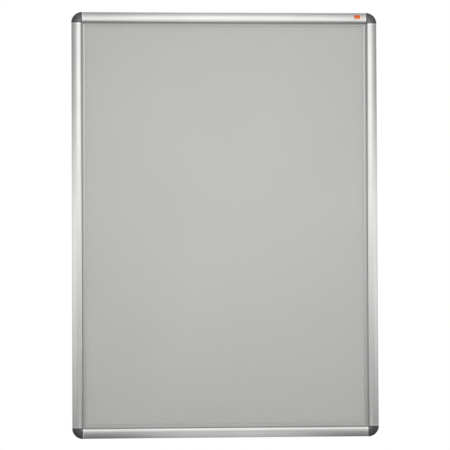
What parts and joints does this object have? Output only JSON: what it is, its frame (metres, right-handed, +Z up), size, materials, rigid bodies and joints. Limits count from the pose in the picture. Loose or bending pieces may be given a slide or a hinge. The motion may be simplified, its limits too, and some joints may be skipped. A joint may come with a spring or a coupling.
{
  "type": "poster frame",
  "caption": "Portrait snap poster frame for the wall: hinged front rails in aluminium, moulded corner caps, clear cover sheet over a grey back panel.",
  "frame": {"origin": "middle of the wall plane, which is the flat back of the four base rails", "axes": "+Z up along the long sides, -Y out of the front towards the viewer, +X to the viewer's right"},
  "size_m": [0.637, 0.0148, 0.884],
  "materials": {
    "rail_aluminium": "extruded and satin silver anodised",
    "corner_plastic": "moulded dark grey with a fine grain",
    "panel_plastic": "light grey sheet, smooth and matt",
    "cover_plastic": "clear flexible sheet with a matt front",
    "spring_steel": "bright rolled strip",
    "screw_steel": "dull zinc",
    "badge_plastic": "plain orange, glossy"
  },
  "bodies": {
    "base_frame": {"base_rail_bottom": "rail_aluminium", "base_rail_top": "rail_aluminium", "base_rail_left": "rail_aluminium", "base_rail_right": "rail_aluminium", "corner_block_bottom_left": "corner_plastic", "corner_block_bottom_right": "corner_plastic", "corner_block_top_left": "corner_plastic", "corner_block_top_right": "corner_plastic", "leg_screw_bottom_left_row": "screw_steel", "leg_screw_bottom_left_upright": "screw_steel", "leg_screw_bottom_right_row": "screw_steel", "leg_screw_bottom_right_upright": "screw_steel", "leg_screw_top_left_row": "screw_steel", "leg_screw_top_left_upright": "screw_steel", "leg_screw_top_right_row": "screw_steel", "leg_screw_top_right_upright": "screw_steel", "leaf_spring_bottom_1": "spring_steel", "leaf_spring_bottom_2": "spring_steel", "leaf_spring_top_1": "spring_steel", "leaf_spring_top_2": "spring_steel", "leaf_spring_left_1": "spring_steel", "leaf_spring_left_2": "spring_steel", "leaf_spring_left_3": "spring_steel", "leaf_spring_right_1": "spring_steel", "leaf_spring_right_2": "spring_steel", "leaf_spring_right_3": "spring_steel", "back_panel": "panel_plastic", "cover_sheet": "cover_plastic"},
    "rail_bottom": {"snap_rail_bottom": "rail_aluminium"},
    "rail_top": {"snap_rail_top": "rail_aluminium", "badge_plain": "badge_plastic"},
    "rail_left": {"snap_rail_left": "rail_aluminium"},
    "rail_right": {"snap_rail_right": "rail_aluminium"},
    "cap_bottom_left": {"corner_cap_bottom_left": "corner_plastic"},
    "cap_bottom_right": {"corner_cap_bottom_right": "corner_plastic"},
    "cap_top_left": {"corner_cap_top_left": "corner_plastic"},
    "cap_top_right": {"corner_cap_top_right": "corner_plastic"}
  },
  "joints": [
    {"name": "rail_bottom_hinge", "type": "hinge", "parent": "base_frame", "child": "rail_bottom", "pos_m": [0, -0.0052, -0.4386], "axis": [1, 0, 0], "range_deg": [0, 105], "deforming": ["leaf_spring_bottom_1", "leaf_spring_bottom_2"]},
    {"name": "rail_top_hinge", "type": "hinge", "parent": "base_frame", "child": "rail_top", "pos_m": [0, -0.0052, 0.4386], "axis": [-1, 0, 0], "range_deg": [0, 105], "deforming": ["leaf_spring_top_1", "leaf_spring_top_2"]},
    {"name": "rail_left_hinge", "type": "hinge", "parent": "base_frame", "child": "rail_left", "pos_m": [-0.3151, -0.0052, 0], "axis": [0, 0, -1], "range_deg": [0, 105], "deforming": ["leaf_spring_left_1", "leaf_spring_left_2", "leaf_spring_left_3"]},
    {"name": "rail_right_hinge", "type": "hinge", "parent": "base_frame", "child": "rail_right", "pos_m": [0.3151, -0.0052, 0], "axis": [0, 0, 1], "range_deg": [0, 105], "deforming": ["leaf_spring_right_1", "leaf_spring_right_2", "leaf_spring_right_3"]},
    {"name": "cap_bottom_left_pull", "type": "slide", "parent": "base_frame", "child": "cap_bottom_left", "axis": [0, -1, 0], "range_m": [0, 0.015]},
    {"name": "cap_bottom_right_pull", "type": "slide", "parent": "base_frame", "child": "cap_bottom_right", "axis": [0, -1, 0], "range_m": [0, 0.015]},
    {"name": "cap_top_left_pull", "type": "slide", "parent": "base_frame", "child": "cap_top_left", "axis": [0, -1, 0], "range_m": [0, 0.015]},
    {"name": "cap_top_right_pull", "type": "slide", "parent": "base_frame", "child": "cap_top_right", "axis": [0, -1, 0], "range_m": [0, 0.015]}
  ]
}
